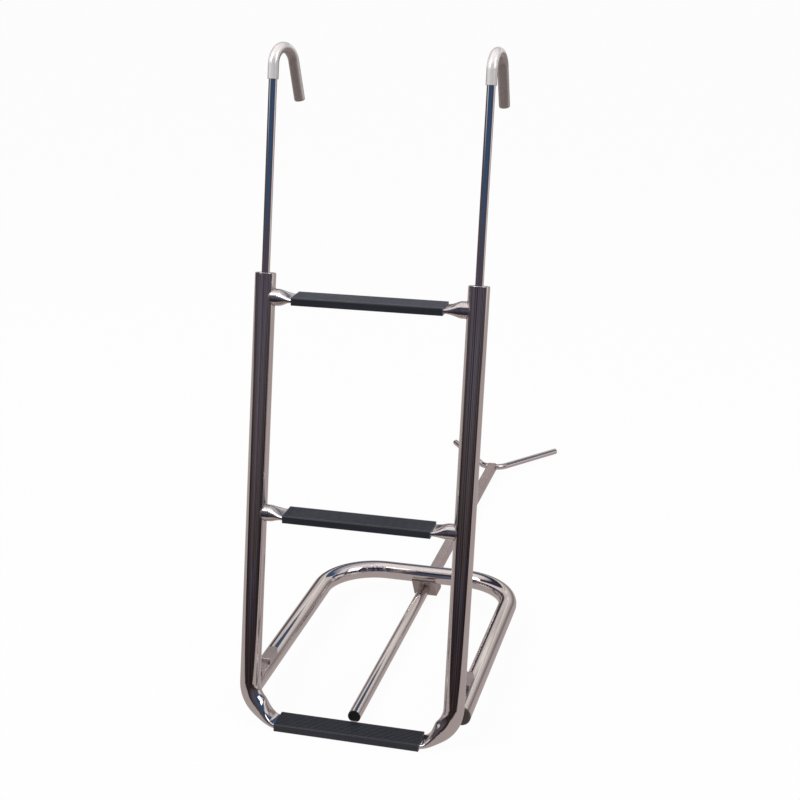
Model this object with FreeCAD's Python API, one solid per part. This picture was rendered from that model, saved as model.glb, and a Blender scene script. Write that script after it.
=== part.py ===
"""Bow ladder: a hook-on boarding ladder of bent stainless tube with three treads,
a fold-up stand-off frame behind it and a sliding arm that ends in a stem fork.

The ladder stands as it does on a level floor. The treads, the stand-off frame and the arm
are level and the uprights lean back. X runs along the treads, +Y points away from the
climber, towards the boat, and +Z is up. The origin is the middle of the lowest tread's
underside. All sizes are in millimetres and degrees.
"""
import FreeCAD, Part
import math
import os

# Driving dimensions of the front frame
frame_tube_diameter = 25.0
frame_tube_wall = 1.5
upright_spacing = 254.7
upright_lean = 11.3
upright_top = 543.0
frame_bend_radius = 37.5
step_pitch = 258.0
lowest_run_rise = 8.4

# Cross steps and their tread covers
step_tube_diameter = 20.0
step_tube_wall = 1.5
pressed_thickness = 5.6
pressed_width = 28.0
press_taper_length = 20.0
tread_length = 180.0
tread_depth = 33.5
tread_height = 9.4
tread_corner = 1.6
tread_fit = 0.15
tread_rib_count = 9
tread_rib_pitch = 3.0
tread_groove_width = 1.1
tread_groove_depth = 0.7

# Hooks that rise out of the uprights
rod_diameter = 9.8
rod_running_fit = 0.1
hook_bend_radius = 20.0
hook_crown = 259.9
hook_splay = 19.0
hook_tip_length = 42.7
sleeve_start = 222.5
sleeve_diameter = 12.8
sleeve_end_cap = 4.0
sleeve_tip_rounding = 2.4
left_hook_turn = 18.0
right_hook_turn = 7.0
plug_depth = 22.0
plug_lip = 1.2
plug_lip_step = 0.4
plug_lip_rounding = 0.6
guide_length = 24.0
guide_waist_length = 8.0
guide_waist_depth = 1.2
guide_below_plug = 14.0
guide_fit = 0.15
rod_collar_thickness = 2.0
rod_collar_step = 2.0
rod_collar_gap = 0.3

# Stand-off frame behind the uprights
rear_tube_diameter = 24.8
rear_tube_wall = 1.5
leg_outset = 4.95
rear_height = 32.8
rear_reach = 397.4
rear_bend_radius = 76.0
leg_stop_gap = 0.4
leg_plug_depth = 18.0
leg_plug_dome = 3.0
leg_plug_rounding = 2.4

# Fold hinges: a lug on each leg turns on a pin between two ears on the upright
lug_width = 13.0
lug_thickness = 8.0
lug_pad_length = 34.0
lug_reach = 68.0
lug_tongue_width = 8.0
lug_tongue_thickness = 5.0
lug_cope_depth = 0.7
lug_edge_rounding = 0.8
knuckle_radius = 6.5
ear_radius = 5.5
ear_thickness = 3.0
ear_side_gap = 0.4
ear_root_depth = 7.5
hinge_pin_diameter = 6.0
hinge_running_fit = 0.08
pin_head_radius = 5.0
pin_head_height = 2.0
pin_head_gap = 0.2
knuckle_to_upright = 1.2

# Socket, sliding arm and stem fork
socket_width = 33.3
socket_height = 29.0
socket_ahead = 17.4
socket_slant = 17.4
socket_foot_depth = 29.6
socket_corner = 1.5
arm_tube_diameter = 16.0
arm_tube_wall = 1.5
arm_running_fit = 0.1
arm_under_crossbar = 0.8
arm_front = 24.0
arm_round_past_socket = 3.0
arm_square = 14.0
arm_square_wall = 1.5
arm_square_corner = 1.5
arm_plug_depth = 12.0
arm_plug_recess = 0.6
fork_vertex = 899.0
fork_rod_diameter = 10.0
fork_half_angle = 32.5
fork_arm_length = 171.0
fork_bend_radius = 26.0
fork_droop = 3.0

# Cutters run this far past the faces they open
cut_overrun = 1.0

X_AXIS = FreeCAD.Vector(1, 0, 0)
Y_AXIS = FreeCAD.Vector(0, 1, 0)
Z_AXIS = FreeCAD.Vector(0, 0, 1)

# Derived sizes
frame_radius = frame_tube_diameter / 2
rear_radius = rear_tube_diameter / 2
rod_radius = rod_diameter / 2
arm_radius = arm_tube_diameter / 2
half_spacing = upright_spacing / 2
lean = math.radians(upright_lean)
up_tube = FreeCAD.Vector(0, math.sin(lean), math.cos(lean))
behind_tube = FreeCAD.Vector(0, math.cos(lean), -math.sin(lean))
ladder_base = FreeCAD.Vector(0, 0, tread_height / 2)
arm_height = rear_height - rear_radius - arm_under_crossbar - arm_radius


def on_ladder(across, along, behind=0.0):
    """Point given across the ladder, along its uprights and behind their plane."""
    return ladder_base + X_AXIS * across + up_tube * along + behind_tube * behind


def disc_wire(centre, normal, radius):
    return Part.Wire([Part.Circle(centre, normal, radius).toShape()])


def rod_between(start, end, radius):
    direction = end - start
    return Part.makeCylinder(radius, direction.Length, start, direction)


def tangent_arc(before, corner, after, radius):
    """Ends and middle of the arc that rounds a corner of a path."""
    to_before = (before - corner).normalize()
    to_after = (after - corner).normalize()
    half_angle = to_before.getAngle(to_after) / 2
    setback = radius / math.tan(half_angle)
    bisector = (to_before + to_after).normalize()
    centre = corner + bisector * (radius / math.sin(half_angle))
    return corner + to_before * setback, centre - bisector * radius, corner + to_after * setback


def rounded_path(points, radius):
    """Wire of straight runs joined by tangent arcs of one radius."""
    edges = []
    start = points[0]
    for before, corner, after in zip(points, points[1:], points[2:]):
        arc_start, arc_middle, arc_end = tangent_arc(before, corner, after, radius)
        if start.distanceToPoint(arc_start) > 1e-6:
            edges.append(Part.LineSegment(start, arc_start).toShape())
        edges.append(Part.Arc(arc_start, arc_middle, arc_end).toShape())
        start = arc_end
    if start.distanceToPoint(points[-1]) > 1e-6:
        edges.append(Part.LineSegment(start, points[-1]).toShape())
    return Part.Wire(edges)


def swept_round(path, radius):
    """Solid round bar along a path of lines and arcs."""
    first = path.OrderedEdges[0]
    direction = first.tangentAt(first.FirstParameter)
    start = path.OrderedVertexes[0].Point
    return path.makePipeShell([disc_wire(start, direction, radius)], True, False)


def pressed_outline(centre, tangent, flatness, radius, thickness, width):
    """Closed outline of a tube pressed from round (flatness 0) to flat (flatness 1).

    Four arcs are used at every stage, so that the stages can be skinned together.
    """
    across = (Y_AXIS - tangent * Y_AXIS.dot(tangent)).normalize()
    upward = tangent.cross(across)
    if upward.z < 0:
        upward = upward * -1

    def blend(round_value, flat_value):
        return round_value + (flat_value - round_value) * flatness

    half_width = blend(radius, width / 2)
    half_height = blend(radius, thickness / 2)
    corner_out = blend(radius * math.sqrt(0.5), (width - thickness) / 2)
    corner_up = blend(radius * math.sqrt(0.5), thickness * 0.48)

    def place(out, up):
        return centre + across * out + upward * up

    ring = [
        (place(-corner_out, corner_up), place(0, half_height), place(corner_out, corner_up)),
        (place(corner_out, corner_up), place(half_width, 0), place(corner_out, -corner_up)),
        (place(corner_out, -corner_up), place(0, -half_height), place(-corner_out, -corner_up)),
        (place(-corner_out, -corner_up), place(-half_width, 0), place(-corner_out, corner_up)),
    ]
    return Part.Wire([Part.Arc(*points).toShape() for points in ring])


def eased(share):
    """Slow at both ends, as a press die leaves the metal."""
    return share * share * (3 - 2 * share)


def front_frame_body(radius, thickness, width, top):
    """Solid outline of the U-shaped front tube, whose lowest run is pressed flat."""
    low = lowest_run_rise / math.cos(lean)
    bend_centre_along = low + frame_bend_radius
    side_pieces = []
    stages = 6
    flat_end = None
    for side in (-1, 1):
        axis_x = side * half_spacing
        centre_x = axis_x - side * frame_bend_radius

        def bend_point(angle):
            turn = math.radians(angle)
            out = side * frame_bend_radius * math.cos(turn)
            return on_ladder(centre_x + out, bend_centre_along - frame_bend_radius * math.sin(turn))

        def bend_tangent(angle):
            turn = math.radians(angle)
            return (X_AXIS * (-side * math.sin(turn)) - up_tube * math.cos(turn)).normalize()

        path = Part.Wire([
            Part.LineSegment(on_ladder(axis_x, top), bend_point(0)).toShape(),
            Part.Arc(bend_point(0), bend_point(22.5), bend_point(45)).toShape(),
        ])
        side_pieces.append(swept_round(path, radius))
        outlines = []
        for stage in range(stages + 1):
            share = stage / stages
            angle = 45 + 45 * share
            flatness = eased(share)
            tangent = bend_tangent(angle)
            centre = bend_point(angle) - Z_AXIS * (lowest_run_rise * flatness)
            centre = centre - Y_AXIS * (lowest_run_rise * math.tan(lean) * flatness)
            outlines.append(pressed_outline(centre, tangent, flatness, radius, thickness, width))
        side_pieces.append(Part.makeLoft(outlines, True, False))
        if flat_end is None:
            flat_end = outlines[-1]
    flat_length = 2 * (half_spacing - frame_bend_radius)
    side_pieces.append(Part.Face(flat_end).extrude(X_AXIS * flat_length))
    body = side_pieces[0]
    return body.fuse(side_pieces[1:]).removeSplitter()


def front_frame_tube():
    outer = front_frame_body(frame_radius, pressed_thickness, pressed_width, upright_top)
    inner = front_frame_body(
        frame_radius - frame_tube_wall,
        pressed_thickness - 2 * frame_tube_wall,
        pressed_width - 2 * frame_tube_wall,
        upright_top + cut_overrun,
    )
    return outer.cut(inner)


def step_body(centre, half_length, radius, thickness, width):
    """Solid outline of a cross step: round ends, pressed flat under the tread."""
    flat_half = tread_length / 2
    round_half = flat_half + press_taper_length
    pieces = []
    stages = 4
    for side in (-1, 1):
        outlines = []
        for stage in range(stages + 1):
            share = stage / stages
            offset = side * (round_half - press_taper_length * share)
            outlines.append(pressed_outline(
                centre + X_AXIS * offset, X_AXIS * -side, eased(share), radius, thickness, width))
        pieces.append(Part.makeLoft(outlines, True, False))
        pieces.append(rod_between(
            centre + X_AXIS * side * half_length, centre + X_AXIS * side * round_half, radius))
    middle = pressed_outline(
        centre - X_AXIS * flat_half, X_AXIS, 1.0, radius, thickness, width)
    pieces.append(Part.Face(middle).extrude(X_AXIS * (2 * flat_half)))
    return pieces[0].fuse(pieces[1:]).removeSplitter()


def step_tube(centre):
    """Cross step with its ends coped to the uprights."""
    half_length = half_spacing
    outer = step_body(centre, half_length, step_tube_diameter / 2, pressed_thickness, pressed_width)
    inner = step_body(
        centre,
        half_length,
        step_tube_diameter / 2 - step_tube_wall,
        pressed_thickness - 2 * step_tube_wall,
        pressed_width - 2 * step_tube_wall,
    )
    tube = outer.cut(inner)
    for side in (-1, 1):
        foot = on_ladder(side * half_spacing, 0)
        tube = tube.cut(rod_between(foot, foot + up_tube * upright_top, frame_radius))
    return tube


def tread_cover(centre):
    """Sleeve round the pressed step: grooved along its top, plain at the front and back."""
    half_depth = tread_depth / 2
    half_height = tread_height / 2
    block = Part.makeBox(
        tread_length, tread_depth, tread_height,
        centre - FreeCAD.Vector(tread_length / 2, half_depth, half_height))
    long_edges = [edge for edge in block.Edges if abs(edge.Length - tread_length) < 1e-6]
    cover = block.makeFillet(tread_corner, long_edges)
    pocket = pressed_outline(
        centre - X_AXIS * (tread_length / 2 + cut_overrun), X_AXIS, 1.0, step_tube_diameter / 2,
        pressed_thickness + 2 * tread_fit, pressed_width + 2 * tread_fit)
    cover = cover.cut(Part.Face(pocket).extrude(X_AXIS * (tread_length + 2 * cut_overrun)))
    first_groove = -(tread_rib_count - 1) / 2 * tread_rib_pitch
    for index in range(tread_rib_count):
        groove = Part.makeBox(
            tread_length + 2 * cut_overrun, tread_groove_width, 2 * tread_groove_depth,
            centre + FreeCAD.Vector(
                -tread_length / 2 - cut_overrun,
                first_groove + index * tread_rib_pitch - tread_groove_width / 2,
                half_height - tread_groove_depth))
        cover = cover.cut(groove)
    return cover


def upright_plug(side):
    """Bush in the top of an upright, bored for the hook rod."""
    top = on_ladder(side * half_spacing, upright_top)
    inside = frame_radius - frame_tube_wall
    plug = Part.makeCylinder(inside, plug_depth, top - up_tube * plug_depth, up_tube)
    lip = Part.makeCylinder(frame_radius - plug_lip_step, plug_lip, top, up_tube)
    lip = lip.makeFillet(plug_lip_rounding, [lip.Edges[0]])
    bore = Part.makeCylinder(
        rod_radius + rod_running_fit, plug_depth + plug_lip + 2 * cut_overrun,
        top - up_tube * (plug_depth + cut_overrun), up_tube)
    return plug.fuse(lip).removeSplitter().cut(bore)


def guide_top_along():
    return upright_top - plug_depth - guide_below_plug


def rod_guide(side):
    """Slider inside the upright that keeps the foot of the rod central."""
    top = on_ladder(side * half_spacing, guide_top_along())
    radius = frame_radius - frame_tube_wall - guide_fit
    slider = Part.makeCylinder(radius, guide_length, top - up_tube * guide_length, up_tube)
    waist_foot = top - up_tube * (guide_length / 2 + guide_waist_length / 2)
    outer_ring = Part.makeCylinder(radius + cut_overrun, guide_waist_length, waist_foot, up_tube)
    inner_core = Part.makeCylinder(
        radius - guide_waist_depth, guide_waist_length, waist_foot, up_tube)
    slider = slider.cut(outer_ring.cut(inner_core))
    bore = Part.makeCylinder(
        rod_radius + rod_running_fit, guide_length + 2 * cut_overrun,
        top - up_tube * (guide_length + cut_overrun), up_tube)
    return slider.cut(bore)


def hook_direction(turn):
    """Unit vector from a hook's rod towards its tip."""
    angle = math.radians(turn)
    return X_AXIS * math.sin(angle) + behind_tube * math.cos(angle)


def hook_path(side, turn, start_along, tip_length):
    """Centre line up the rod, round the bend and down its splayed end."""
    outwards = hook_direction(turn)
    foot = on_ladder(side * half_spacing, upright_top)
    shank_top = foot + up_tube * (hook_crown - hook_bend_radius)
    bend_centre = shank_top + outwards * hook_bend_radius
    crown = bend_centre + up_tube * hook_bend_radius
    splay = math.radians(hook_splay)
    bend_end = bend_centre + (outwards * math.cos(splay) + up_tube * math.sin(splay)) * hook_bend_radius
    tip = bend_end + (outwards * math.sin(splay) - up_tube * math.cos(splay)) * tip_length
    return Part.Wire([
        Part.LineSegment(foot + up_tube * start_along, shank_top).toShape(),
        Part.Arc(shank_top, crown, bend_end).toShape(),
        Part.LineSegment(bend_end, tip).toShape(),
    ])


def hook_rod(side, turn):
    """Rod with its U bend and the two collars that hold it in its guide."""
    upper_collar = guide_top_along() + rod_collar_gap
    lower_collar = guide_top_along() - guide_length - rod_collar_gap - rod_collar_thickness
    path = hook_path(side, turn, lower_collar - upright_top, hook_tip_length)
    rod = swept_round(path, rod_radius)
    for along in (upper_collar, lower_collar):
        collar = Part.makeCylinder(
            rod_radius + rod_collar_step, rod_collar_thickness,
            on_ladder(side * half_spacing, along), up_tube)
        rod = rod.fuse(collar)
    return rod.removeSplitter()


def hook_sleeve(side, turn):
    """Plastic sleeve over the hook, closed past the rod's tip."""
    outer_path = hook_path(side, turn, sleeve_start, hook_tip_length + sleeve_end_cap)
    outer = swept_round(outer_path, sleeve_diameter / 2)
    tip = outer_path.OrderedVertexes[-1].Point
    tip_edges = [
        edge for edge in outer.Edges
        if edge.Length < math.pi * sleeve_diameter * 1.05
        and edge.CenterOfMass.distanceToPoint(tip) < sleeve_diameter / 4
    ]
    outer = outer.makeFillet(sleeve_tip_rounding, tip_edges)
    inner = swept_round(
        hook_path(side, turn, sleeve_start - cut_overrun, hook_tip_length), rod_radius)
    return outer.cut(inner)


def upright_back(height):
    """How far behind the origin the back of an upright lies at a given height."""
    along = (height - tread_height / 2) / math.cos(lean)
    return along * math.sin(lean) + frame_radius / math.cos(lean)


leg_crown = rear_height + rear_radius
pin_height = leg_crown + knuckle_radius
pin_back = upright_back(pin_height) + knuckle_radius + knuckle_to_upright
leg_front = upright_back(leg_crown) + leg_stop_gap
leg_x = half_spacing + leg_outset


def rear_frame_tube():
    """Level U-shaped tube of the stand-off frame."""
    corners = [
        FreeCAD.Vector(-leg_x, leg_front + leg_plug_dome, rear_height),
        FreeCAD.Vector(-leg_x, rear_reach, rear_height),
        FreeCAD.Vector(leg_x, rear_reach, rear_height),
        FreeCAD.Vector(leg_x, leg_front + leg_plug_dome, rear_height),
    ]
    path = rounded_path(corners, rear_bend_radius)
    return swept_round(path, rear_radius).cut(swept_round(path, rear_radius - rear_tube_wall))


def leg_plug(side):
    """Black plug that closes the front end of a leg with a low dome."""
    end = FreeCAD.Vector(side * leg_x, leg_front + leg_plug_dome, rear_height)
    shank = Part.makeCylinder(rear_radius - rear_tube_wall, leg_plug_depth, end, Y_AXIS)
    head = Part.makeCylinder(rear_radius, leg_plug_dome, end - Y_AXIS * leg_plug_dome, Y_AXIS)
    front_edges = [edge for edge in head.Edges if abs(edge.CenterOfMass.y - leg_front) < 1e-6]
    head = head.makeFillet(leg_plug_rounding, front_edges)
    return shank.fuse(head).removeSplitter()


def hinge_ears(side):
    """Two plates welded to the back of an upright that carry the hinge pin."""
    ears = []
    pin = FreeCAD.Vector(0, pin_back, pin_height)
    root = knuckle_radius + ear_root_depth
    foot = on_ladder(side * half_spacing, 0)
    upright = rod_between(foot, foot + up_tube * upright_top, frame_radius)
    for offset in (-1, 1):
        inner = offset * (lug_tongue_width / 2 + ear_side_gap)
        outer = inner + offset * ear_thickness
        low_x = half_spacing * side + min(inner, outer)
        root_top = pin + up_tube * ear_radius - behind_tube * root
        root_low = pin - up_tube * ear_radius - behind_tube * root
        nose_top = pin + up_tube * ear_radius
        nose_low = pin - up_tube * ear_radius
        outline = Part.Wire([
            Part.LineSegment(root_low, root_top).toShape(),
            Part.LineSegment(root_top, nose_top).toShape(),
            Part.Arc(nose_top, pin + behind_tube * ear_radius, nose_low).toShape(),
            Part.LineSegment(nose_low, root_low).toShape(),
        ])
        plate = Part.Face(outline).extrude(X_AXIS * ear_thickness)
        plate.translate(X_AXIS * low_x)
        ears.append(plate.cut(upright).cut(pin_hole(side)))
    return Part.makeCompound(ears)


def pin_hole(side):
    start = FreeCAD.Vector(side * half_spacing - lug_width, pin_back, pin_height)
    return Part.makeCylinder(
        hinge_pin_diameter / 2 + hinge_running_fit, 2 * lug_width, start, X_AXIS)


def hinge_pin(side):
    """Headed pin through the ears and the knuckle of the lug."""
    half_grip = lug_tongue_width / 2 + ear_side_gap + ear_thickness + pin_head_gap
    start = FreeCAD.Vector(side * half_spacing - half_grip, pin_back, pin_height)
    pin = Part.makeCylinder(hinge_pin_diameter / 2, 2 * half_grip, start, X_AXIS)
    for end, low in ((-1, -pin_head_height), (1, 0)):
        head_x = side * half_spacing + end * half_grip + low
        head = Part.makeCylinder(
            pin_head_radius, pin_head_height,
            FreeCAD.Vector(head_x, pin_back, pin_height), X_AXIS)
        pin = pin.fuse(head)
    return pin.removeSplitter()


def hinge_lug(side):
    """Lug on the crown of a leg: a thick pad, a narrower tongue and a knuckle for the pin."""
    middle = side * half_spacing
    seat = leg_crown - lug_cope_depth
    pad_back = pin_back + lug_reach
    pad_front = pad_back - lug_pad_length
    round_end = lug_width / 2
    pad = Part.makeBox(
        lug_width, lug_pad_length - round_end, lug_thickness,
        FreeCAD.Vector(middle - round_end, pad_front, seat))
    end = Part.makeCylinder(
        round_end, lug_thickness, FreeCAD.Vector(middle, pad_back - round_end, seat), Z_AXIS)
    pad = pad.fuse(end).removeSplitter()
    top_edges = [edge for edge in pad.Edges if edge.BoundBox.ZMin > seat + lug_thickness - 1e-6]
    pad = pad.makeFillet(lug_edge_rounding, top_edges)
    tongue = Part.makeBox(
        lug_tongue_width, pad_front + cut_overrun - pin_back, lug_tongue_thickness,
        FreeCAD.Vector(middle - lug_tongue_width / 2, pin_back, seat))
    knuckle = Part.makeCylinder(
        knuckle_radius, lug_tongue_width,
        FreeCAD.Vector(middle - lug_tongue_width / 2, pin_back, pin_height), X_AXIS)
    lug = pad.fuse([tongue, knuckle]).removeSplitter()
    leg = rod_between(
        FreeCAD.Vector(side * leg_x, 0, rear_height),
        FreeCAD.Vector(side * leg_x, rear_reach, rear_height), rear_radius)
    return lug.cut(leg).cut(pin_hole(side))


socket_foot = rear_reach - socket_ahead + socket_slant
socket_back = socket_foot + socket_foot_depth


def arm_socket():
    """Block welded under the crossbar, its front face slanted, bored for the arm."""
    low_x = -socket_width / 2
    profile = Part.makePolygon([
        FreeCAD.Vector(low_x, rear_reach - socket_ahead, socket_height),
        FreeCAD.Vector(low_x, socket_foot, 0),
        FreeCAD.Vector(low_x, socket_back, 0),
        FreeCAD.Vector(low_x, socket_back, socket_height),
        FreeCAD.Vector(low_x, rear_reach - socket_ahead, socket_height),
    ])
    block = Part.Face(profile).extrude(X_AXIS * socket_width)
    side_edges = [
        edge for edge in block.Edges
        if abs(edge.Vertexes[0].Point.z - edge.Vertexes[-1].Point.z) > socket_height / 2
    ]
    block = block.makeFillet(socket_corner, side_edges)
    crossbar = rod_between(
        FreeCAD.Vector(-socket_width, rear_reach, rear_height),
        FreeCAD.Vector(socket_width, rear_reach, rear_height), rear_radius)
    bore = Part.makeCylinder(
        arm_radius + arm_running_fit, socket_back - (rear_reach - socket_ahead) + 2 * cut_overrun,
        FreeCAD.Vector(0, rear_reach - socket_ahead - cut_overrun, arm_height), Y_AXIS)
    return block.cut(crossbar).cut(bore)


arm_round_end = socket_back + arm_round_past_socket


def arm_front_tube():
    outer = Part.makeCylinder(
        arm_radius, arm_round_end - arm_front, FreeCAD.Vector(0, arm_front, arm_height), Y_AXIS)
    inner = Part.makeCylinder(
        arm_radius - arm_tube_wall, arm_round_end - arm_front + 2 * cut_overrun,
        FreeCAD.Vector(0, arm_front - cut_overrun, arm_height), Y_AXIS)
    return outer.cut(inner)


def arm_end_plug():
    start = FreeCAD.Vector(0, arm_front + arm_plug_recess, arm_height)
    return Part.makeCylinder(arm_radius - arm_tube_wall, arm_plug_depth, start, Y_AXIS)


def square_bar(half_side, corner, start, end):
    bar = Part.makeBox(
        2 * half_side, end - start, 2 * half_side,
        FreeCAD.Vector(-half_side, start, arm_height - half_side))
    long_edges = [edge for edge in bar.Edges if abs(edge.Length - (end - start)) < 1e-6]
    return bar.makeFillet(corner, long_edges)


fork_vertex_point = FreeCAD.Vector(0, fork_vertex, arm_height)
fork_ahead = FreeCAD.Vector(0, math.cos(math.radians(fork_droop)), -math.sin(math.radians(fork_droop)))


def arm_rear_tube():
    """Square tube that carries the fork, coped to the fork rod."""
    half = arm_square / 2
    outer = square_bar(half, arm_square_corner, arm_round_end, fork_vertex)
    inner = square_bar(
        half - arm_square_wall, arm_square_corner / 2,
        arm_round_end - cut_overrun, fork_vertex + cut_overrun)
    fork_ring = Part.makeTorus(
        fork_bend_radius, fork_rod_diameter / 2, fork_vertex_point + fork_ahead * fork_bend_radius,
        X_AXIS.cross(fork_ahead))
    return outer.cut(inner).cut(fork_ring)


def fork_rod():
    """V of round rod whose rounded vertex lies on the end of the arm."""
    half_angle = math.radians(fork_half_angle)
    corner = fork_vertex_point - fork_ahead * (fork_bend_radius / math.sin(half_angle) - fork_bend_radius)
    reach = fork_ahead * (math.cos(half_angle) * fork_arm_length)
    spread = X_AXIS * (math.sin(half_angle) * fork_arm_length)
    path = rounded_path([corner + reach - spread, corner, corner + reach + spread], fork_bend_radius)
    return swept_round(path, fork_rod_diameter / 2)


def build_parts():
    upper_step = on_ladder(0, 2 * step_pitch)
    middle_step = on_ladder(0, step_pitch)
    lowest_step = on_ladder(0, 0)
    parts = {
        "front_frame_tube": front_frame_tube(),
        "upper_step_tube": step_tube(upper_step),
        "middle_step_tube": step_tube(middle_step),
        "upper_tread": tread_cover(upper_step),
        "middle_tread": tread_cover(middle_step),
        "lowest_tread": tread_cover(lowest_step),
        "stand_off_tube": rear_frame_tube(),
        "arm_socket": arm_socket(),
        "arm_front_tube": arm_front_tube(),
        "arm_end_plug": arm_end_plug(),
        "arm_rear_tube": arm_rear_tube(),
        "stem_fork": fork_rod(),
    }
    for name, side, turn in (("left", -1, left_hook_turn), ("right", 1, right_hook_turn)):
        parts[name + "_upright_plug"] = upright_plug(side)
        parts[name + "_rod_guide"] = rod_guide(side)
        parts[name + "_hook_rod"] = hook_rod(side, turn)
        parts[name + "_hook_sleeve"] = hook_sleeve(side, turn)
        parts[name + "_leg_plug"] = leg_plug(side)
        parts[name + "_hinge_ears"] = hinge_ears(side)
        parts[name + "_hinge_pin"] = hinge_pin(side)
        parts[name + "_hinge_lug"] = hinge_lug(side)
    return parts


os.makedirs("parts", exist_ok=True)
for node, shape in build_parts().items():
    print(node, "solids", len(shape.Solids), "valid", shape.isValid(), "volume", round(shape.Volume, 1))
    shape.exportStep("parts/" + node + ".step")
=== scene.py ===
import math

import bpy
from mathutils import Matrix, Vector


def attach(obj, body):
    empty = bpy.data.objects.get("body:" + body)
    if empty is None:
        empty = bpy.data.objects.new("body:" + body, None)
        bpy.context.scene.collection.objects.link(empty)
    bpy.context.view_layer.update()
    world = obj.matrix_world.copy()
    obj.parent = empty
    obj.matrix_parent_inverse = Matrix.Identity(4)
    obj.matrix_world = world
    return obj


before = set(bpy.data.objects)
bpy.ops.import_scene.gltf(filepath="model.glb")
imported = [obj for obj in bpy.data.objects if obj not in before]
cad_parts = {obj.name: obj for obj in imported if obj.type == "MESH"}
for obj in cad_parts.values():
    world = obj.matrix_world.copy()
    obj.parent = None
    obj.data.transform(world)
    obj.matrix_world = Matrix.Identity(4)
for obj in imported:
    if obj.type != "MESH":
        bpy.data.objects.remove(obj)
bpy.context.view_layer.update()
print("frame loaded:", len(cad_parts), "nodes")


def hexToLinear(code):
    channels = [int(code[i:i + 2], 16) / 255 for i in (1, 3, 5)]
    linear = [c / 12.92 if c <= 0.04045 else ((c + 0.055) / 1.055) ** 2.4 for c in channels]
    return (*linear, 1.0)  # fully opaque


def addNode(tree, kind, settings=None, links=None):
    node = tree.nodes.new(kind)
    for name, value in (settings or {}).items():
        if name == "stops":
            stops = node.color_ramp.elements
            while len(stops) < len(value):
                stops.new(1.0)
            for stop, (position, shade) in zip(stops, value):
                stop.position = position
                stop.color = hexToLinear(shade)
        elif isinstance(name, int) or name in node.inputs:
            node.inputs[name].default_value = value
        else:
            setattr(node, name, value)
    for name, source in (links or {}).items():
        tree.links.new(source, node.inputs[name])
    return node


def newMaterial(name):
    material = bpy.data.materials.new(name)
    material.use_nodes = True
    material.node_tree.nodes.clear()
    return material, material.node_tree


def perMm(x, y, z):
    # one pattern cell every x, y and z millimetres, for object coordinates in metres
    return (1000 / x, 1000 / y, 1000 / z)


# camera at the photo's viewing angle
cameraView = {
    "place": (0.44786, -1.50831, 0.95364),
    "turnDegrees": (70.181, 0.123, 15.194),
    "lensMm": 67.21,
    "shift": (0.02804, 0.04170),  # the photo's optical centre isn't its middle
}


def makeCamera():
    data = bpy.data.cameras.new("photoCamera")
    data.sensor_width = 36
    data.lens = cameraView["lensMm"]
    data.shift_x, data.shift_y = cameraView["shift"]
    data.clip_end = 100
    camera = bpy.data.objects.new("photoCamera", data)
    camera.location = cameraView["place"]
    camera.rotation_euler = [math.radians(a) for a in cameraView["turnDegrees"]]
    bpy.context.scene.collection.objects.link(camera)
    bpy.context.scene.camera = camera


makeCamera()
print("camera placed")


# the front frame: its uprights lean back, away from the climber
ladder = {
    "leanDegrees": 11.3, "baseMm": 4.7, "halfSpacingMm": 127.35, "uprightRadiusMm": 12.5,
    "stepRadiusMm": 10, "stepsAtMm": {"upper": 516, "middle": 258},
}

# stainless tube, drawn, ground and buffed: a near mirror with faint lines along the tube
polishedTube = {
    "steel": "#E0DCDB",
    "warmFilm": "#D3CBC8",
    "buffed": (0.04, 0.10),
    "pressed": (0.15, 0.26),  # the step tubes lost some gloss when they were pressed flat
    "lineAcrossMm": 2.2,  # real buffing lines are about 0.1 mm, drawn coarse enough to show
    "lineAlongMm": 140,
    "filmMm": 70,  # patches of finger grease and polish left on the tube
    "waveMm": 45,  # the drawn tube isn't quite straight, so its reflections waver
    "waveDepthMm": 0.18,
    "lineDepthMm": 0.02,
}


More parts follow.
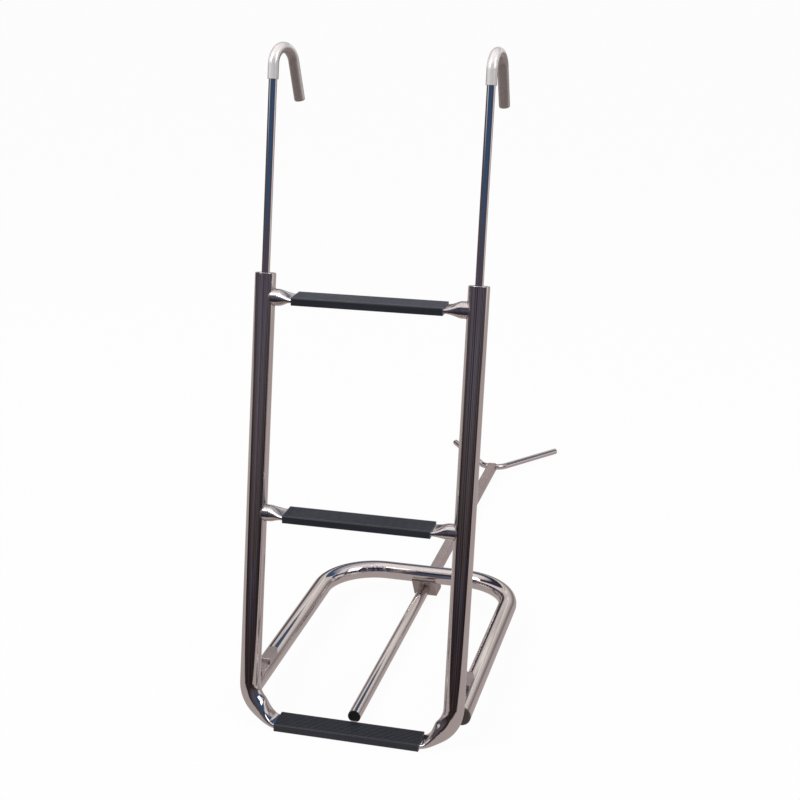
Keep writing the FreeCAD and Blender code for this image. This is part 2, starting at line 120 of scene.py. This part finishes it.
def polishedStainless(name, along, leanDegrees=0, gloss="buffed"):
    material, tree = newMaterial(name)
    across, length = polishedTube["lineAcrossMm"], polishedTube["lineAlongMm"]
    cell = [length if axis == along else across for axis in "xyz"]
    place = addNode(tree, "ShaderNodeTexCoord")
    turned = addNode(tree, "ShaderNodeMapping", {
        "vector_type": "POINT", "Rotation": (math.radians(leanDegrees), 0, 0)},
        {"Vector": place.outputs["Object"]})
    stretched = addNode(tree, "ShaderNodeMapping", {"Scale": perMm(*cell)},
                        {"Vector": turned.outputs["Vector"]})
    buffLines = addNode(tree, "ShaderNodeTexNoise", {"Scale": 1.0, "Detail": 4.0, "Roughness": 0.6},
                        {"Vector": stretched.outputs["Vector"]})
    film = addNode(tree, "ShaderNodeTexNoise", {
        "Scale": 1000 / polishedTube["filmMm"], "Detail": 3.0},
        {"Vector": place.outputs["Object"]})
    waves = addNode(tree, "ShaderNodeTexNoise", {
        "Scale": 1000 / polishedTube["waveMm"], "Detail": 1.0},
        {"Vector": place.outputs["Object"]})
    low, high = polishedTube[gloss]
    shine = addNode(tree, "ShaderNodeMapRange", {
        "From Min": 0.3, "From Max": 0.7, "To Min": low, "To Max": high},
        {"Value": buffLines.outputs["Fac"]})
    colour = addNode(tree, "ShaderNodeMix", {
        "data_type": "RGBA", 6: hexToLinear(polishedTube["steel"]),
        7: hexToLinear(polishedTube["warmFilm"])}, {0: film.outputs["Fac"]})
    ripple = addNode(tree, "ShaderNodeBump", {
        "Strength": 0.35, "Distance": polishedTube["waveDepthMm"] / 1000},
        {"Height": waves.outputs["Fac"]})
    lines = addNode(tree, "ShaderNodeBump", {
        "Strength": 0.25, "Distance": polishedTube["lineDepthMm"] / 1000},
        {"Height": buffLines.outputs["Fac"], "Normal": ripple.outputs["Normal"]})
    shader = addNode(tree, "ShaderNodeBsdfPrincipled", {"Metallic": 1.0}, {
        "Base Color": colour.outputs[2], "Roughness": shine.outputs["Result"],
        "Normal": lines.outputs["Normal"]})
    addNode(tree, "ShaderNodeOutputMaterial", links={"Surface": shader.outputs["BSDF"]})
    return material


# the same steel left satin from the belt: soft highlights, grain in one direction
satinPiece = {
    "brushed": ("#D9CECC", "#B6AAA8"),
    "shadedSocket": ("#C2B8B4", "#8A807C"),  # painted shade: a darker copy of the satin steel for the socket, standing in for its shade and the dark shadow it mirrors
    "roughness": (0.26, 0.42),
    "gritMm": 0.6,  # a 240 grit belt leaves about 0.06 mm, drawn coarse enough to show
    "grainLengthMm": 18,
    "grainDepthMm": 0.04,
    "stainMm": 25,
}


def satinStainless(name, along, tone):
    material, tree = newMaterial(name)
    across, length = satinPiece["gritMm"], satinPiece["grainLengthMm"]
    cell = [length if axis == along else across for axis in "xyz"]
    place = addNode(tree, "ShaderNodeTexCoord")
    stretched = addNode(tree, "ShaderNodeMapping", {"Scale": perMm(*cell)},
                        {"Vector": place.outputs["Object"]})
    grain = addNode(tree, "ShaderNodeTexNoise", {"Scale": 1.0, "Detail": 3.0},
                    {"Vector": stretched.outputs["Vector"]})
    stains = addNode(tree, "ShaderNodeTexNoise", {
        "Scale": 1000 / satinPiece["stainMm"], "Detail": 4.0},
        {"Vector": place.outputs["Object"]})
    low, high = satinPiece["roughness"]
    shine = addNode(tree, "ShaderNodeMapRange", {
        "From Min": 0.3, "From Max": 0.7, "To Min": low, "To Max": high},
        {"Value": grain.outputs["Fac"]})
    colour = addNode(tree, "ShaderNodeMix", {
        "data_type": "RGBA", 6: hexToLinear(satinPiece[tone][0]),
        7: hexToLinear(satinPiece[tone][1])}, {0: stains.outputs["Fac"]})
    relief = addNode(tree, "ShaderNodeBump", {
        "Strength": 0.4, "Distance": satinPiece["grainDepthMm"] / 1000},
        {"Height": grain.outputs["Fac"]})
    shader = addNode(tree, "ShaderNodeBsdfPrincipled", {"Metallic": 1.0}, {
        "Base Color": colour.outputs[2], "Roughness": shine.outputs["Result"],
        "Normal": relief.outputs["Normal"]})
    addNode(tree, "ShaderNodeOutputMaterial", links={"Surface": shader.outputs["BSDF"]})
    return material


# plastics: each moulded or extruded, with its own colour, gloss and skin
plastics = {
    "extrudedBlackVinyl": {  # near-black, faint draw lines along the tread, a painted bluish sheen for the sky its tops reflect
        "colours": ("#1C1F28", "#292C34"), "roughness": (0.36, 0.50),
        "cellMm": (90, 2.5, 2.5), "reliefMm": 0.02, "paintedSheen": 1.0, "flatFaces": True},
    "clearVinylOverSteel": {  # smoky tube, the rod's shine comes through it; painted light makes its upward faces paler
        "colours": ("#857977", "#988D8A"), "roughness": (0.18, 0.30),
        "cellMm": (9, 9, 22), "reliefMm": 0.04, "shine": 0.35, "paintedTopLight": "#F1ECEA"},
    "mouldedBlackPolythene": {  # arm plug, smooth and slightly waxy
        "colours": ("#131313", "#1D1D1E"), "roughness": (0.30, 0.46),
        "cellMm": (5, 5, 5), "reliefMm": 0.03},
    "scuffedDarkPolythene": {  # leg plugs, greyed brown by the ground they stand on
        "colours": ("#3A3331", "#554A47"), "roughness": (0.45, 0.65),
        "cellMm": (4, 4, 4), "reliefMm": 0.08},
    "turnedNaturalAcetal": {  # off-white, fine lathe rings
        "colours": ("#D9D6CB", "#CFCBBE"), "roughness": (0.30, 0.42),
        "cellMm": (9, 9, 0.8), "reliefMm": 0.03},
}
handledPatchMm = 35  # gloss varies in patches as wide as a hand's grip
# painted sheen: a bluish tint standing in for sky reflected at grazing angles
paintedSheenTint = "#B4BED4"


def plastic(name):
    values = plastics[name]
    material, tree = newMaterial(name)
    place = addNode(tree, "ShaderNodeTexCoord")
    stretched = addNode(tree, "ShaderNodeMapping", {"Scale": perMm(*values["cellMm"])},
                        {"Vector": place.outputs["Object"]})
    skin = addNode(tree, "ShaderNodeTexNoise", {"Scale": 1.0, "Detail": 4.0},
                   {"Vector": stretched.outputs["Vector"]})
    handling = addNode(tree, "ShaderNodeTexNoise", {
        "Scale": 1000 / handledPatchMm, "Detail": 3.0},
        {"Vector": place.outputs["Object"]})
    low, high = values["roughness"]
    shine = addNode(tree, "ShaderNodeMapRange", {
        "From Min": 0.3, "From Max": 0.7, "To Min": low, "To Max": high},
        {"Value": handling.outputs["Fac"]})
    colour = addNode(tree, "ShaderNodeMix", {
        "data_type": "RGBA", 6: hexToLinear(values["colours"][0]),
        7: hexToLinear(values["colours"][1])}, {0: skin.outputs["Fac"]})
    if "paintedTopLight" in values:
        # painted light: what faces up is mixed toward a near-white, as if lit from above
        facing = addNode(tree, "ShaderNodeSeparateXYZ", links={0: place.outputs["Normal"]})
        paintedLightShare = addNode(tree, "ShaderNodeMapRange", {"From Min": -0.05, "From Max": 0.22},
                        {"Value": facing.outputs["Z"]})
        colour = addNode(tree, "ShaderNodeMix", {
            "data_type": "RGBA", 7: hexToLinear(values["paintedTopLight"])},
            {0: paintedLightShare.outputs["Result"], 6: colour.outputs[2]})
    relief = addNode(tree, "ShaderNodeBump", {
        "Strength": 0.5, "Distance": values["reliefMm"] / 1000}, {"Height": skin.outputs["Fac"]})
    if "flatFaces" in values:
        # the grooves' long facets shade evenly with the face's own normal
        face = addNode(tree, "ShaderNodeNewGeometry")
        tree.links.new(face.outputs["True Normal"], relief.inputs["Normal"])
    steelShine = values.get("shine", 0.0)
    # Sheen Weight and Sheen Tint lay the painted bluish sheen on the treads
    shader = addNode(tree, "ShaderNodeBsdfPrincipled", {
        "Metallic": steelShine, "Coat Weight": steelShine, "Coat Roughness": 0.12,
        "Sheen Weight": values.get("paintedSheen", 0.0), "Sheen Roughness": 0.3,
        "Sheen Tint": hexToLinear(paintedSheenTint)}, {
        "Base Color": colour.outputs[2], "Roughness": shine.outputs["Result"],
        "Normal": relief.outputs["Normal"]})
    addNode(tree, "ShaderNodeOutputMaterial", links={"Surface": shader.outputs["BSDF"]})
    return material


uprightSteel = polishedStainless("polishedStainlessUprights", "z", ladder["leanDegrees"])
crossSteel = polishedStainless("pressedStainlessCrossTubes", "x", gloss="pressed")
alongSteel = polishedStainless("polishedStainlessStandOff", "y")
satinSteel = satinStainless("satinStainless", "y", "brushed")
# the socket's satin is drawn darker than the rest: painted shade
socketSteel = satinStainless("satinStainlessShadedSocket", "x", "shadedSocket")
treadVinyl = plastic("extrudedBlackVinyl")
sleeveVinyl = plastic("clearVinylOverSteel")
plugPlastic = plastic("mouldedBlackPolythene")
legPlugPlastic = plastic("scuffedDarkPolythene")
guidePlastic = plastic("turnedNaturalAcetal")

finishOfNode = {
    "front_frame_tube": uprightSteel, "left_hook_rod": uprightSteel, "right_hook_rod": uprightSteel,
    "left_upright_plug": uprightSteel, "right_upright_plug": uprightSteel,
    "upper_step_tube": crossSteel, "middle_step_tube": crossSteel,
    "stand_off_tube": alongSteel, "arm_front_tube": alongSteel, "stem_fork": alongSteel,
    "arm_rear_tube": satinSteel, "arm_socket": socketSteel,
    "left_hinge_ears": satinSteel, "right_hinge_ears": satinSteel,
    "left_hinge_pin": satinSteel, "right_hinge_pin": satinSteel,
    "left_hinge_lug": satinSteel, "right_hinge_lug": satinSteel,
    "upper_tread": treadVinyl, "middle_tread": treadVinyl, "lowest_tread": treadVinyl,
    "left_hook_sleeve": sleeveVinyl, "right_hook_sleeve": sleeveVinyl,
    "left_leg_plug": legPlugPlastic, "right_leg_plug": legPlugPlastic, "arm_end_plug": plugPlastic,
    "left_rod_guide": guidePlastic, "right_rod_guide": guidePlastic,
}
for nodeName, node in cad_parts.items():
    node.data.materials.clear()
    node.data.materials.append(finishOfNode[nodeName])
print("materials on", len(finishOfNode), "nodes")


# weld beads, low and finely rippled, brushed clean, a trace of straw tint
weldBeads = {
    "beadMm": 0.6,
    "ripplePitchMm": 1.4,
    "rippleShare": 0.07,
    "rings": 5,  # cross sections to a ripple
    "sides": 10,
    "endShare": 0.45,  # an open bead starts this thin and grows by growShare at each ring
    "growShare": 0.2,
    "colours": ("#B5ACA6", "#9A8B7A"),
    "roughness": (0.40, 0.58),
    "tintMm": 6,
}
lean = math.radians(ladder["leanDegrees"])
upTube = Vector((0, math.sin(lean), math.cos(lean)))
behindTube = Vector((0, math.cos(lean), -math.sin(lean)))


def onLadder(across, along, behind):
    # millimetres on the leaning ladder to metres in the scene
    place = Vector((across, 0, ladder["baseMm"])) + upTube * along + behindTube * behind
    return place / 1000


def tintedWeldSteel():
    material, tree = newMaterial("brushedWeldStainless")
    place = addNode(tree, "ShaderNodeTexCoord")
    tint = addNode(tree, "ShaderNodeTexNoise", {
        "Scale": 1000 / weldBeads["tintMm"], "Detail": 3.0},
        {"Vector": place.outputs["Object"]})
    colour = addNode(tree, "ShaderNodeMix", {
        "data_type": "RGBA", 6: hexToLinear(weldBeads["colours"][0]),
        7: hexToLinear(weldBeads["colours"][1])}, {0: tint.outputs["Fac"]})
    low, high = weldBeads["roughness"]
    shine = addNode(tree, "ShaderNodeMapRange", {"To Min": low, "To Max": high},
                    {"Value": tint.outputs["Fac"]})
    shader = addNode(tree, "ShaderNodeBsdfPrincipled", {"Metallic": 1.0}, {
        "Base Color": colour.outputs[2], "Roughness": shine.outputs["Result"]})
    addNode(tree, "ShaderNodeOutputMaterial", links={"Surface": shader.outputs["BSDF"]})
    return material


weldSteel = tintedWeldSteel()


def evenlySpaced(points, spacing, closed):
    line = list(points) + ([points[0]] if closed else [])
    lengths = [(b - a).length for a, b in zip(line, line[1:])]
    count = max(4, round(sum(lengths) / spacing))
    result = []
    for index in range(count if closed else count + 1):
        target = sum(lengths) * index / count
        for (a, b), length in zip(zip(line, line[1:]), lengths):
            if target <= length + 1e-9:
                result.append(a.lerp(b, min(1.0, target / length)))
                break
            target -= length
    return result


def addBead(vertices, faces, points, closed):
    sides, rings = weldBeads["sides"], weldBeads["rings"]
    centres = evenlySpaced(points, weldBeads["ripplePitchMm"] / 1000 / rings, closed)
    total = len(centres)
    first = len(vertices)
    for index, centre in enumerate(centres):
        ahead = centres[(index + 1) % total] if closed else centres[min(index + 1, total - 1)]
        behind = centres[index - 1] if closed or index else centres[0]
        tangent = (ahead - behind).normalized()
        # any direction that the bead doesn't run in
        helper = Vector((0.31, 0.57, 0.76)) if abs(tangent.z) < 0.9 else Vector((1, 0.2, 0))
        sideways = tangent.cross(helper).normalized()
        upward = tangent.cross(sideways)
        ripple = 1 + weldBeads["rippleShare"] * math.sin(2 * math.pi * index / rings)
        fromEnd = min(index, total - 1 - index)
        grown = weldBeads["endShare"] + weldBeads["growShare"] * fromEnd
        taper = 1.0 if closed else min(1.0, grown)
        radius = weldBeads["beadMm"] / 1000 * ripple * taper
        for side in range(sides):
            angle = 2 * math.pi * side / sides
            outward = sideways * math.cos(angle) + upward * math.sin(angle)
            vertices.append(centre + outward * radius)
    for index in range(total if closed else total - 1):
        here = first + index * sides
        there = first + ((index + 1) % total) * sides
        for side in range(sides):
            other = (side + 1) % sides
            faces.append((here + side, here + other, there + other, there + side))
    if not closed:
        faces.append(tuple(first + side for side in reversed(range(sides))))
        faces.append(tuple(first + (total - 1) * sides + side for side in range(sides)))


def weldPiece(name, body, lines):
    vertices, faces = [], []
    for points, closed in lines:
        addBead(vertices, faces, points, closed)
    mesh = bpy.data.meshes.new(name)
    mesh.from_pydata(vertices, [], faces)
    mesh.shade_smooth()
    mesh.materials.append(weldSteel)
    piece = bpy.data.objects.new(name, mesh)
    bpy.context.scene.collection.objects.link(piece)
    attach(piece, body)
    return piece


def stepJoint(side, along):
    points = []
    for degrees in range(0, 360, 6):
        angle = math.radians(degrees)
        behind = ladder["stepRadiusMm"] * math.sin(angle)
        reach = math.sqrt(ladder["uprightRadiusMm"] ** 2 - behind ** 2)
        points.append(onLadder(side * (ladder["halfSpacingMm"] - reach),
                               along + ladder["stepRadiusMm"] * math.cos(angle), behind))
    return points


for stepName, along in ladder["stepsAtMm"].items():
    weldPiece(stepName + "_step_welds", "ladder",
              [(stepJoint(side, along), True) for side in (-1, 1)])

hinge = {"pinBackMm": 29.84, "pinHeightMm": 51.7, "earOuterMm": 7.4, "halfEarMm": 5.5,
         "legXMm": 132.3, "legRadiusMm": 12.4, "legHeightMm": 32.8,
         "lugReachMm": 68, "lugPadMm": 34, "lugHalfWidthMm": 6.5,
         "weldAsideMm": 0.2, "weldBehindMm": 0.3}


def earWelds(side):
    along = (hinge["pinHeightMm"] - ladder["baseMm"]) * math.cos(lean) \
        + hinge["pinBackMm"] * math.sin(lean)
    meeting = math.sqrt(ladder["uprightRadiusMm"] ** 2 - hinge["earOuterMm"] ** 2)
    behind = meeting + hinge["weldBehindMm"]
    lines = []
    for ear in (-1, 1):
        aside = ear * (hinge["earOuterMm"] + hinge["weldAsideMm"])
        across = side * ladder["halfSpacingMm"] + aside
        lines.append(([onLadder(across, along - hinge["halfEarMm"], behind),
                       onLadder(across, along + hinge["halfEarMm"], behind)], False))
    return lines


def lugWeld(side):
    # along the pad's outer edge and round its end, where it lies on the leg
    half = hinge["lugHalfWidthMm"]
    back = hinge["pinBackMm"] + hinge["lugReachMm"] - half
    straight = [(half, back - hinge["lugPadMm"] + half), (half, back)]
    turn = [(half * math.sin(math.radians(a)), back + half * math.cos(math.radians(a)))
            for a in range(80, -30, -10)]
    points = []
    for out, y in straight + turn:
        x = ladder["halfSpacingMm"] + out
        rise = math.sqrt(hinge["legRadiusMm"] ** 2 - (x - hinge["legXMm"]) ** 2)
        points.append(Vector((side * x, y, hinge["legHeightMm"] + rise)) / 1000)
    return points


for sideName, side in (("left", -1), ("right", 1)):
    weldPiece(sideName + "_ear_welds", "ladder", earWelds(side))
    weldPiece(sideName + "_lug_weld", "stand_off", [(lugWeld(side), False)])

socket = {"halfWidthMm": 16.65, "crossbarBackMm": 397.4, "crossbarHeightMm": 32.8,
          "crossbarRadiusMm": 12.4, "topMm": 29.0}


def socketWeld():
    # round the underside of the crossbar, down to the block's top, at both of its sides
    radius = socket["crossbarRadiusMm"]
    limit = math.acos((socket["crossbarHeightMm"] - socket["topMm"]) / radius)
    swing = [limit * share / 10 for share in range(-10, 11)]
    points = []
    for x, angles in ((socket["halfWidthMm"], swing), (-socket["halfWidthMm"], swing[::-1])):
        points += [Vector((x, socket["crossbarBackMm"] + radius * math.sin(angle),
                           socket["crossbarHeightMm"] - radius * math.cos(angle))) / 1000
                   for angle in angles]
    return points


weldPiece("socket_weld", "stand_off", [(socketWeld(), True)])

arm = {"heightMm": 11.6, "jointBackMm": 429.9, "jointRadiusMm": 7.6,
       "forkBackMm": 899.6, "forkSideMm": 7.0, "forkRadiusMm": 5.0}


def armJoint():
    return [Vector((arm["jointRadiusMm"] * math.cos(math.radians(a)), arm["jointBackMm"],
                    arm["heightMm"] + arm["jointRadiusMm"] * math.sin(math.radians(a)))) / 1000
            for a in range(0, 360, 10)]


def forkJoint(side):
    return [Vector((side * arm["forkSideMm"],
                    arm["forkBackMm"] + arm["forkRadiusMm"] * math.sin(math.radians(a)),
                    arm["heightMm"] + arm["forkRadiusMm"] * math.cos(math.radians(a)))) / 1000
            for a in range(0, -181, -12)]


weldPiece("arm_joint_weld", "arm", [(armJoint(), True)])
weldPiece("fork_welds", "arm", [(forkJoint(side), False) for side in (-1, 1)])
print("weld beads laid")


# pale floor and studio
studio = {
    "floorColour": "#F4F2F0",
    "floorGlow": 0.95,
    "worldStrength": 0.62,
    "lamps": {"softKey": {"place": (-1.7, -1.3, 2.5), "size": 1.6, "watts": 34},
              "softFill": {"place": (2.0, -0.4, 1.9), "size": 1.4, "watts": 14}},
    "lampsAimAt": (0, 0.3, 0.35),
    "floorHalfWidth": 30,
    "floorLevel": -0.0004,
    "centre": (0, 0.25, 0),
    "tentRadius": 4.0,
    "tentTurns": 48,
    "tentRows": 12,
    "clothLevel": 0.0006,
    "streaksAround": 52,  # in one turn
    "streakLevels": (0.35, 2.0),
    "foldsUp": 30,  # from the floor to the top of the tent
    "foldLevels": (0.60, 1.20),
    "clothFade": 3,  # metres over which the dark floor grows paler
    # what the steel mirrors, by the sine of the height above the horizon
    "behind": ((0.0, "#8A8588"), (0.20, "#9A9294"), (0.30, "#C4BAB6"), (0.42, "#F2EBE8"),
               (0.53, "#F2ECE9"), (0.55, "#3F5878"), (0.67, "#4A6287"), (0.75, "#B4AEB8"),
               (1.0, "#EAE4E4")),
    "inFront": ((0.0, "#403836"), (0.19, "#54505A"), (0.28, "#4C4652"), (0.33, "#3A5272"),
                (0.44, "#3A5272"), (0.48, "#343240"), (0.72, "#343240"), (0.84, "#E4DEE0"),
                (1.0, "#F2ECEA")),
    # share of the dark front, by the bearing from the front: 0.5 is straight ahead
    "tentFront": ((0.04, "#000000"), (0.06, "#FFFFFF"), (0.755, "#FFFFFF"), (0.775, "#000000"),
                  (0.845, "#000000"), (0.855, "#E7E7E7"), (0.865, "#E7E7E7"), (0.875, "#000000")),
    # the hook rods look higher up, where the dark cloth hangs further to the right
    "rodFront": ((0.34, "#000000"), (0.37, "#FFFFFF"), (0.88, "#FFFFFF"), (0.90, "#000000")),
    "rodBand": ((0.29, "#000000"), (0.32, "#FFFFFF"), (0.50, "#FFFFFF"), (0.54, "#000000")),
    "floorFront": ((0.195, "#000000"), (0.215, "#FFFFFF"), (0.755, "#FFFFFF"), (0.775, "#000000")),
    # pale curtains hang to the left and right, and leave the middle of the back free
    "sideShare": ((0.10, "#000000"), (0.14, "#FFFFFF"), (0.86, "#FFFFFF"), (0.90, "#000000")),
    "curtain": "#EDE7E6",
    # a pale sheet lies under the ladder, its front edge straight across
    "sheetFront": -0.22,
    "sheetEdge": 0.02,
    "sheet": "#B8AEAD",
    "paleFloor": "#ECE4E3",
    "darkFloor": ((0.0, "#2B2222"), (0.5, "#38333A"), (1.0, "#44414B")),
}


def seenDirectly(tree):
    # 1 for what camera, mirror and glass rays meet, so that metal shows the same background
    path = addNode(tree, "ShaderNodeLightPath")
    either = addNode(tree, "ShaderNodeMath", {"operation": "MAXIMUM"}, {
        0: path.outputs["Is Camera Ray"], 1: path.outputs["Is Glossy Ray"]})
    return addNode(tree, "ShaderNodeMath", {"operation": "MAXIMUM"}, {
        0: either.outputs[0], 1: path.outputs["Is Transmission Ray"]})


def stageMesh(name, vertices, faces, material):
    mesh = bpy.data.meshes.new(name)
    mesh.from_pydata(vertices, [], faces)
    mesh.materials.append(material)
    piece = bpy.data.objects.new(name, mesh)
    bpy.context.scene.collection.objects.link(piece)
    return piece


def makeFloor():
    material, tree = newMaterial("paleStudioFloor")
    seen = seenDirectly(tree)
    share = addNode(tree, "ShaderNodeMath", {"operation": "MULTIPLY", 1: studio["floorGlow"]},
                    {0: seen.outputs[0]})
    matt = addNode(tree, "ShaderNodeBsdfDiffuse", {"Color": hexToLinear(studio["floorColour"])})
    white = addNode(tree, "ShaderNodeEmission", {"Strength": 1.0})
    both = addNode(tree, "ShaderNodeMixShader", links={
        0: share.outputs[0], 1: matt.outputs[0], 2: white.outputs[0]})
    addNode(tree, "ShaderNodeOutputMaterial", links={"Surface": both.outputs[0]})
    half, level = studio["floorHalfWidth"], studio["floorLevel"]
    stageMesh("studioFloor", [(-half, -half, level), (half, -half, level), (half, half, level),
                              (-half, half, level)], [(0, 1, 2, 3)], material)


def bearing(tree):
    # 0.5 straight in front of the ladder, growing to the right, and streaks that follow it
    place = addNode(tree, "ShaderNodeTexCoord")
    turned = addNode(tree, "ShaderNodeMapping", {"Rotation": (0, 0, math.radians(90))},
                     {"Vector": place.outputs["Object"]})
    around = addNode(tree, "ShaderNodeTexGradient", {"gradient_type": "RADIAL"},
                     {"Vector": turned.outputs["Vector"]})
    streaks = addNode(tree, "ShaderNodeTexNoise", {
        "noise_dimensions": "1D", "Scale": studio["streaksAround"], "Detail": 3.0},
        {"W": around.outputs["Fac"]})
    low, high = studio["streakLevels"]
    level = addNode(tree, "ShaderNodeMapRange", {
        "From Min": 0.35, "From Max": 0.65, "To Min": low, "To Max": high},
        {"Value": streaks.outputs["Fac"]})
    return place, around, level


def tentMaterial():
    material, tree = newMaterial("studioTentCloth")
    place, around, level = bearing(tree)
    direction = addNode(tree, "ShaderNodeVectorMath", {"operation": "NORMALIZE"},
                        {0: place.outputs["Object"]})
    height = addNode(tree, "ShaderNodeSeparateXYZ", links={0: direction.outputs[0]})
    behind = addNode(tree, "ShaderNodeValToRGB", {"stops": studio["behind"]},
                     {"Fac": height.outputs["Z"]})
    inFront = addNode(tree, "ShaderNodeValToRGB", {"stops": studio["inFront"]},
                      {"Fac": height.outputs["Z"]})
    streaked = addNode(tree, "ShaderNodeVectorMath", {"operation": "SCALE"}, {
        0: inFront.outputs["Color"], "Scale": level.outputs["Result"]})
    folds = addNode(tree, "ShaderNodeTexNoise", {
        "noise_dimensions": "1D", "Scale": studio["foldsUp"], "Detail": 3.0},
        {"W": height.outputs["Z"]})
    low, high = studio["foldLevels"]
    foldLevel = addNode(tree, "ShaderNodeMapRange", {
        "From Min": 0.35, "From Max": 0.65, "To Min": low, "To Max": high},
        {"Value": folds.outputs["Fac"]})
    folded = addNode(tree, "ShaderNodeVectorMath", {"operation": "SCALE"}, {
        0: behind.outputs["Color"], "Scale": foldLevel.outputs["Result"]})
    sides = addNode(tree, "ShaderNodeValToRGB", {"stops": studio["sideShare"]},
                    {"Fac": around.outputs["Fac"]})
    back = addNode(tree, "ShaderNodeMix", {
        "data_type": "RGBA", 7: hexToLinear(studio["curtain"])},
        {0: sides.outputs["Color"], 6: folded.outputs[0]})
    wide = addNode(tree, "ShaderNodeValToRGB", {"stops": studio["tentFront"]},
                   {"Fac": around.outputs["Fac"]})
    turned = addNode(tree, "ShaderNodeValToRGB", {"stops": studio["rodFront"]},
                     {"Fac": around.outputs["Fac"]})
    band = addNode(tree, "ShaderNodeValToRGB", {"stops": studio["rodBand"]},
                   {"Fac": height.outputs["Z"]})
    share = addNode(tree, "ShaderNodeMix", {"data_type": "RGBA"}, {
        0: band.outputs["Color"], 6: wide.outputs["Color"], 7: turned.outputs["Color"]})
    cloth = addNode(tree, "ShaderNodeMix", {"data_type": "RGBA"}, {
        0: share.outputs[2], 6: back.outputs[2], 7: streaked.outputs[0]})
    light = addNode(tree, "ShaderNodeEmission", links={"Color": cloth.outputs[2]})
    addNode(tree, "ShaderNodeOutputMaterial", links={"Surface": light.outputs[0]})
    return material


def floorClothMaterial():
    material, tree = newMaterial("studioFloorCloth")
    place, around, level = bearing(tree)
    ahead = addNode(tree, "ShaderNodeSeparateXYZ", links={0: place.outputs["Object"]})
    edge = studio["sheetFront"] - studio["centre"][1]
    away = addNode(tree, "ShaderNodeMapRange", {
        "From Min": edge, "From Max": edge - studio["clothFade"]}, {"Value": ahead.outputs["Y"]})
    dark = addNode(tree, "ShaderNodeValToRGB", {"stops": studio["darkFloor"]},
                   {"Fac": away.outputs["Result"]})
    streaked = addNode(tree, "ShaderNodeVectorMath", {"operation": "SCALE"}, {
        0: dark.outputs["Color"], "Scale": level.outputs["Result"]})
    share = addNode(tree, "ShaderNodeValToRGB", {"stops": studio["floorFront"]},
                    {"Fac": around.outputs["Fac"]})
    far = addNode(tree, "ShaderNodeMix", {
        "data_type": "RGBA", 6: hexToLinear(studio["paleFloor"])},
        {0: share.outputs["Color"], 7: streaked.outputs[0]})
    soft = studio["sheetEdge"]
    onSheet = addNode(tree, "ShaderNodeMapRange", {
        "From Min": edge - soft, "From Max": edge + soft}, {"Value": ahead.outputs["Y"]})
    cloth = addNode(tree, "ShaderNodeMix", {
        "data_type": "RGBA", 7: hexToLinear(studio["sheet"])},
        {0: onSheet.outputs["Result"], 6: far.outputs[2]})
    light = addNode(tree, "ShaderNodeEmission", links={"Color": cloth.outputs[2]})
    addNode(tree, "ShaderNodeOutputMaterial", links={"Surface": light.outputs[0]})
    return material


def makeTent():
    # dark and pale cloths round the ladder, met only by mirror rays: the streaks on its tubes
    turns, rows = studio["tentTurns"], studio["tentRows"]
    dome = []
    for row in range(rows + 1):
        rise = math.pi / 2 * row / rows
        for step in range(turns):
            turn = 2 * math.pi * step / turns
            outward = Vector((math.cos(turn) * math.cos(rise), math.sin(turn) * math.cos(rise),
                              math.sin(rise)))
            dome.append(outward * studio["tentRadius"])
    walls = []
    for row in range(rows):
        for step in range(turns):
            here, beside = row * turns + step, row * turns + (step + 1) % turns
            walls.append((here, beside, beside + turns, here + turns))
    tent = stageMesh("studioTent", dome, walls, tentMaterial())
    ground = stageMesh("studioFloorCloth", dome[:turns], [tuple(range(turns))],
                       floorClothMaterial())
    ground.location.z = studio["clothLevel"]
    for cloth in (tent, ground):
        cloth.location += Vector(studio["centre"])
        cloth.visible_camera = False
        cloth.visible_diffuse = False
        cloth.visible_shadow = False
        cloth.visible_transmission = False


def makeLights():
    for name, lampValues in studio["lamps"].items():
        data = bpy.data.lights.new(name, "AREA")
        data.size = lampValues["size"]
        data.energy = lampValues["watts"]
        lamp = bpy.data.objects.new(name, data)
        lamp.location = lampValues["place"]
        toPart = Vector(studio["lampsAimAt"]) - Vector(lampValues["place"])
        lamp.rotation_euler = toPart.to_track_quat("-Z", "Y").to_euler()
        bpy.context.scene.collection.objects.link(lamp)


def makeWorld():
    world = bpy.data.worlds.new("whiteStudio")
    world.use_nodes = True
    tree = world.node_tree
    tree.nodes.clear()
    strength = addNode(tree, "ShaderNodeMapRange", {
        "To Min": studio["worldStrength"], "To Max": 1.0},
        {"Value": seenDirectly(tree).outputs[0]})
    sky = addNode(tree, "ShaderNodeBackground", {"Color": hexToLinear("#FFFFFF")},
                  {"Strength": strength.outputs["Result"]})
    addNode(tree, "ShaderNodeOutputWorld", links={"Surface": sky.outputs[0]})
    bpy.context.scene.world = world


makeFloor()
makeTent()
makeLights()
makeWorld()
bpy.context.scene.view_settings.view_transform = "Standard"
print("studio set")
